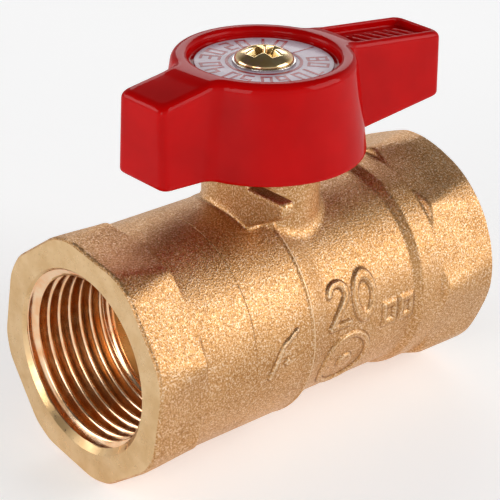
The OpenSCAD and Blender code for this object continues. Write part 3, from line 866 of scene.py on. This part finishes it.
def make_seat(node, side):
    """Seat ring with rounded edges and a front that follows the ball."""
    ball_r, inner = BALL_R + 0.08, BORE_R + 0.3
    arc = []
    for r in np.linspace(inner, SEAT_R - 0.1, 9):
        x = math.sqrt(ball_r ** 2 - r * r)
        arc.append((max(x, SEAT_FRONT), r))
    profile = arc + [(SEAT_FRONT, SEAT_R - 0.05), (SEAT_FRONT + 0.15, SEAT_R), (SEAT_BACK - 0.15, SEAT_R),
                     (SEAT_BACK, SEAT_R - 0.15), (SEAT_BACK, inner + 0.15), (SEAT_BACK - 0.15, inner)]
    obj = lathe(node + "_ring", profile, side=side, closed=True)
    paint_all(obj, PTFE)
    finish_piece(obj, node, "valve_body")


def make_ball():
    """Plated ball with eased bore edges and the stem's slot."""
    ease_r = 0.5
    edge_x = math.sqrt(BALL_R ** 2 - (BORE_R + ease_r) ** 2)
    arc = [(BALL_R * math.cos(t), BALL_R * math.sin(t))
           for t in np.linspace(math.asin((BORE_R + ease_r) / BALL_R),
                                math.pi - math.asin((BORE_R + ease_r) / BALL_R), 64)]
    profile = arc + [(-edge_x - 0.05, BORE_R + 0.15), (-edge_x + 0.35, BORE_R),
                     (edge_x - 0.35, BORE_R), (edge_x + 0.05, BORE_R + 0.15)]
    obj = lathe("ball_plated", profile, closed=True)
    half, top = SLOT_W / 2, BALL_R + 2
    corners = [(x, y, z) for x in (-half, half) for y in (-top, top) for z in (SLOT_Z, top)]
    quads = [(0, 1, 3, 2), (4, 6, 7, 5), (0, 4, 5, 1), (2, 3, 7, 6), (0, 2, 6, 4), (1, 5, 7, 3)]
    combine(obj, mesh_object("slot", corners, quads), "DIFFERENCE")
    paint_all(obj, CHROME)
    finish_piece(obj, "ball", "ball")


def make_handle():
    lo = (-SHORT_REACH, -HUB_LOW_R, SKIRT_Z)
    hi = (LONG_REACH, HUB_LOW_R, HUB_TOP)
    obj = net_mesh("handle_casting", handle_field, lo, hi, GRID)
    mark_edges(obj, handle_field)
    paint_all(obj, RED)
    finish_piece(obj, "handle", "handle")


def make_screw():
    r = SCREW_HI[1]
    obj = net_mesh("handle_screw_head", screw_field, (-r, -r, SCREW_LO[2]), (r, r, SCREW_HI[2]),
                   SCREW_GRID)
    paint_all(obj, ZINC)
    finish_piece(obj, "handle_screw", "handle")


def make_washer():
    inner, outer = 2.3, WASHER_HI[1]
    low, high = WASHER_LO[2], WASHER_HI[2]
    profile = rounded([(low, inner), (low, outer), (high, outer), (high, inner)], 0.2, closed=True)
    obj = lathe("screw_washer_round", profile, axis="z", closed=True)
    paint_all(obj, STEEL)
    finish_piece(obj, "screw_washer", "handle")


# ---------------------------------------------------------------- label
PRINT_T, PRINT_W = 0.03, 0.4         # the print's most over and into the film; a numeral's stroke
PRINT_RING = (4.9, 5.35)             # inner and outer radius of the printed ring
NUMERAL_W, NUMERAL_HALF_H, NUMERAL_FOOT_R = 1.2, 1.3, 6.15
NUMERAL_STEP, NUMERAL_SPREAD = 40, 9            # degrees between numbers; a digit from its middle
DIGIT_BARS = {                       # the strokes of a plain numeral, in a cell 1 wide and 2 high
    "0": [((0, 0), (1, 0)), ((1, 0), (1, 2)), ((1, 2), (0, 2)), ((0, 2), (0, 0))],
    "1": [((0.5, 0), (0.5, 2))],
    "2": [((0, 2), (1, 2)), ((1, 2), (1, 1)), ((1, 1), (0, 1)), ((0, 1), (0, 0)), ((0, 0), (1, 0))],
    "3": [((0, 2), (1, 2)), ((1, 2), (1, 0)), ((1, 0), (0, 0)), ((0, 1), (1, 1))],
    "4": [((0, 2), (0, 1)), ((0, 1), (1, 1)), ((1, 2), (1, 0))],
    "5": [((1, 2), (0, 2)), ((0, 2), (0, 1)), ((0, 1), (1, 1)), ((1, 1), (1, 0)), ((1, 0), (0, 0))],
    "6": [((1, 2), (0, 2)), ((0, 2), (0, 0)), ((0, 0), (1, 0)), ((1, 0), (1, 1)), ((1, 1), (0, 1))],
    "7": [((0, 2), (1, 2)), ((1, 2), (0.4, 0))],
    "8": [((0, 0), (1, 0)), ((1, 0), (1, 2)), ((1, 2), (0, 2)), ((0, 2), (0, 0)), ((0, 1), (1, 1))],
}


def print_bar(points, faces, a, b, width):
    """Adds a thin raised bar from a to b on the label; no two that cross share a top height."""
    a, b = np.array(a, float), np.array(b, float)
    along = (b - a) / np.linalg.norm(b - a) * width / 2
    across = np.array([-along[1], along[0]])
    first = len(points)
    rise = PRINT_T - 0.003 * (len(faces) // 6 % 7)
    for z in (LABEL_HI[2] - PRINT_T, LABEL_HI[2] + rise):
        for p in (a - along - across, b + along - across, b + along + across, a - along + across):
            points.append((p[0], p[1], z))
    for quad in ((0, 3, 2, 1), (4, 5, 6, 7), (0, 1, 5, 4), (1, 2, 6, 5), (2, 3, 7, 6), (3, 0, 4, 7)):
        faces.append(tuple(first + n for n in quad))


def make_print():
    """Dial print: a ring, one radial line and numerals round the label."""
    points, faces = [], []
    print_bar(points, faces, (5.3, 0), (LABEL_HI[0] - 0.4, 0), 0.28)
    for tens in range(1, 9):
        t = math.radians(NUMERAL_STEP * tens)
        for digit, shift in ((str(tens), -NUMERAL_SPREAD), ("0", NUMERAL_SPREAD)):
            out = np.array([math.cos(t - math.radians(shift)), math.sin(t - math.radians(shift))])
            right = np.array([out[1], -out[0]])
            foot = out * NUMERAL_FOOT_R - right * NUMERAL_W / 2
            for ends in DIGIT_BARS[digit]:
                a, b = (foot + right * u * NUMERAL_W + out * v * NUMERAL_HALF_H for u, v in ends)
                print_bar(points, faces, a, b, PRINT_W)
    obj = mesh_object("label_print", points, faces)
    low, high = LABEL_HI[2] - PRINT_T, LABEL_HI[2] + PRINT_T
    inner, outer = PRINT_RING
    band = lathe("label_ring", [(low, inner), (low, outer), (high, outer), (high, inner)],
                 axis="z", closed=True)
    for piece in (obj, band):
        piece.data.materials.append(PRINT)
        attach(piece, "handle")


def make_label():
    low, high, outer = LABEL_LO[2], LABEL_HI[2], LABEL_HI[0]
    profile = rounded([(low, 2.3), (low, outer), (high, outer), (high, 2.3)], 0.08, closed=True)
    obj = lathe("label_disc_film", profile, axis="z", closed=True)
    paint_all(obj, LABEL)
    finish_piece(obj, "label_disc", "handle")
    make_print()


def dress_hidden_nodes():
    """The pieces inside keep their CAD shape and take full materials."""
    for node, material in (("stem", TURNED), ("stem_thrust_washer", PTFE), ("joint_seal", RUBBER),
                           ("stem_oring_lower", RUBBER), ("stem_oring_upper", RUBBER)):
        obj = frame["nodes"][node]
        for n in range(len(obj.material_slots)):
            obj.material_slots[n].material = material


# ================================================================ camera, light and floor
CAMERA_AZ, CAMERA_EL, CAMERA_ROLL = -42.32, 25.867, 1.506
CAMERA_BACK, CAMERA_RIGHT, CAMERA_UP = 273.54, -1.238, 6.358
CAMERA_LENS = 136.287


def add_camera():
    az, el, roll = (math.radians(a) for a in (CAMERA_AZ, CAMERA_EL, CAMERA_ROLL))
    back = Vector((math.sin(az) * math.cos(el), -math.cos(az) * math.cos(el), math.sin(el)))
    level_right = (-back).cross(Vector((0, 0, 1))).normalized()
    level_up = level_right.cross(-back)
    place = back * CAMERA_BACK + level_right * CAMERA_RIGHT + level_up * CAMERA_UP + Vector(CENTRE)
    right = level_right * math.cos(roll) + level_up * math.sin(roll)
    up = level_up * math.cos(roll) - level_right * math.sin(roll)
    data = bpy.data.cameras.new("camera")
    data.lens, data.sensor_width = CAMERA_LENS, 36
    data.clip_start, data.clip_end = 0.005, 20
    camera = bpy.data.objects.new("camera", data)
    bpy.context.scene.collection.objects.link(camera)
    turn = Matrix((right, up, back)).transposed().to_4x4()
    camera.matrix_world = Matrix.Translation(place * MM) @ turn
    bpy.context.scene.camera = camera


def add_light(name, place, size, power):
    """Soft rectangular lamp that faces the valve."""
    data = bpy.data.lights.new(name, "AREA")
    data.shape, data.size, data.size_y = "RECTANGLE", size[0], size[1]
    data.energy = power
    lamp = bpy.data.objects.new(name, data)
    lamp.location = Vector(place)
    aim = Vector((0, 0, 0.02)) - lamp.location
    lamp.rotation_euler = aim.to_track_quat("-Z", "Y").to_euler()
    bpy.context.scene.collection.objects.link(lamp)


def add_floor():
    n = Nodes("floor", (0.8, 0.8, 0.8), 0.7)
    n.shader.inputs["Specular IOR Level"].default_value = 0.1
    n.shader.inputs["Emission Color"].default_value = (1, 1, 1, 1)
    n.shader.inputs["Emission Strength"].default_value = 0.40
    material = n.done(n.mix(n.noise(60, 2), (0.83, 0.83, 0.835), (0.86, 0.86, 0.86)))
    side = 3.0
    mesh = bpy.data.meshes.new("floor")
    mesh.from_pydata([(-side, -side, 0), (side, -side, 0), (side, side, 0), (-side, side, 0)], [],
                     [(0, 1, 2, 3)])
    mesh.materials.append(material)
    floor = bpy.data.objects.new("floor", mesh)
    bpy.context.scene.collection.objects.link(floor)


def add_world():
    """Pale near the horizon, most of all on the key lamp's side, and dark overhead."""
    world = bpy.data.worlds.new("studio")
    world.use_nodes = True
    tree = world.node_tree
    place = tree.nodes.new("ShaderNodeTexCoord")
    split = tree.nodes.new("ShaderNodeSeparateXYZ")
    side = tree.nodes.new("ShaderNodeVectorMath")
    side.operation = "DOT_PRODUCT"
    side.inputs[1].default_value = (0.45, -0.89, 0)
    height_fade, side_fade = (tree.nodes.new("ShaderNodeMapRange") for _ in range(2))
    for fade, limits in ((height_fade, (0.3, 0.65, 1, 0.15)), (side_fade, (-0.55, 0.5, 0.5, 0.75))):
        for name, value in zip(("From Min", "From Max", "To Min", "To Max"), limits):
            fade.inputs[name].default_value = value
    both = tree.nodes.new("ShaderNodeMath")
    both.operation = "MULTIPLY"
    sky = tree.nodes["Background"]
    sky.inputs["Color"].default_value = (1, 1, 1, 1)
    tree.links.new(place.outputs["Generated"], split.inputs[0])
    tree.links.new(place.outputs["Generated"], side.inputs[0])
    tree.links.new(split.outputs["Z"], height_fade.inputs["Value"])
    tree.links.new(side.outputs["Value"], side_fade.inputs["Value"])
    tree.links.new(height_fade.outputs["Result"], both.inputs[0])
    tree.links.new(side_fade.outputs["Result"], both.inputs[1])
    tree.links.new(both.outputs[0], sky.inputs["Strength"])
    bpy.context.scene.world = world
    bpy.context.scene.view_settings.view_transform = "Standard"


LAMPS = (                            # name, place, size and power
    ("key", (0.46, -0.56, 0.36), (0.62, 0.50), 3.2),
    ("behind_right", (0.46, 0.50, 0.34), (0.45, 0.22), 0.8),
    ("front_left", (-0.62, -0.22, 0.22), (0.34, 0.34), 1.3),
    ("back_left", (-0.52, 0.50, 0.24), (0.44, 0.30), 1.6),
)

add_camera()
for lamp in LAMPS:
    add_light(*lamp)
add_floor()
add_world()

make_body()
make_connector()
make_seat("seat_inlet", -1)
make_seat("seat_outlet", 1)
make_ball()
make_handle()
make_label()
make_washer()
make_screw()
dress_hidden_nodes()
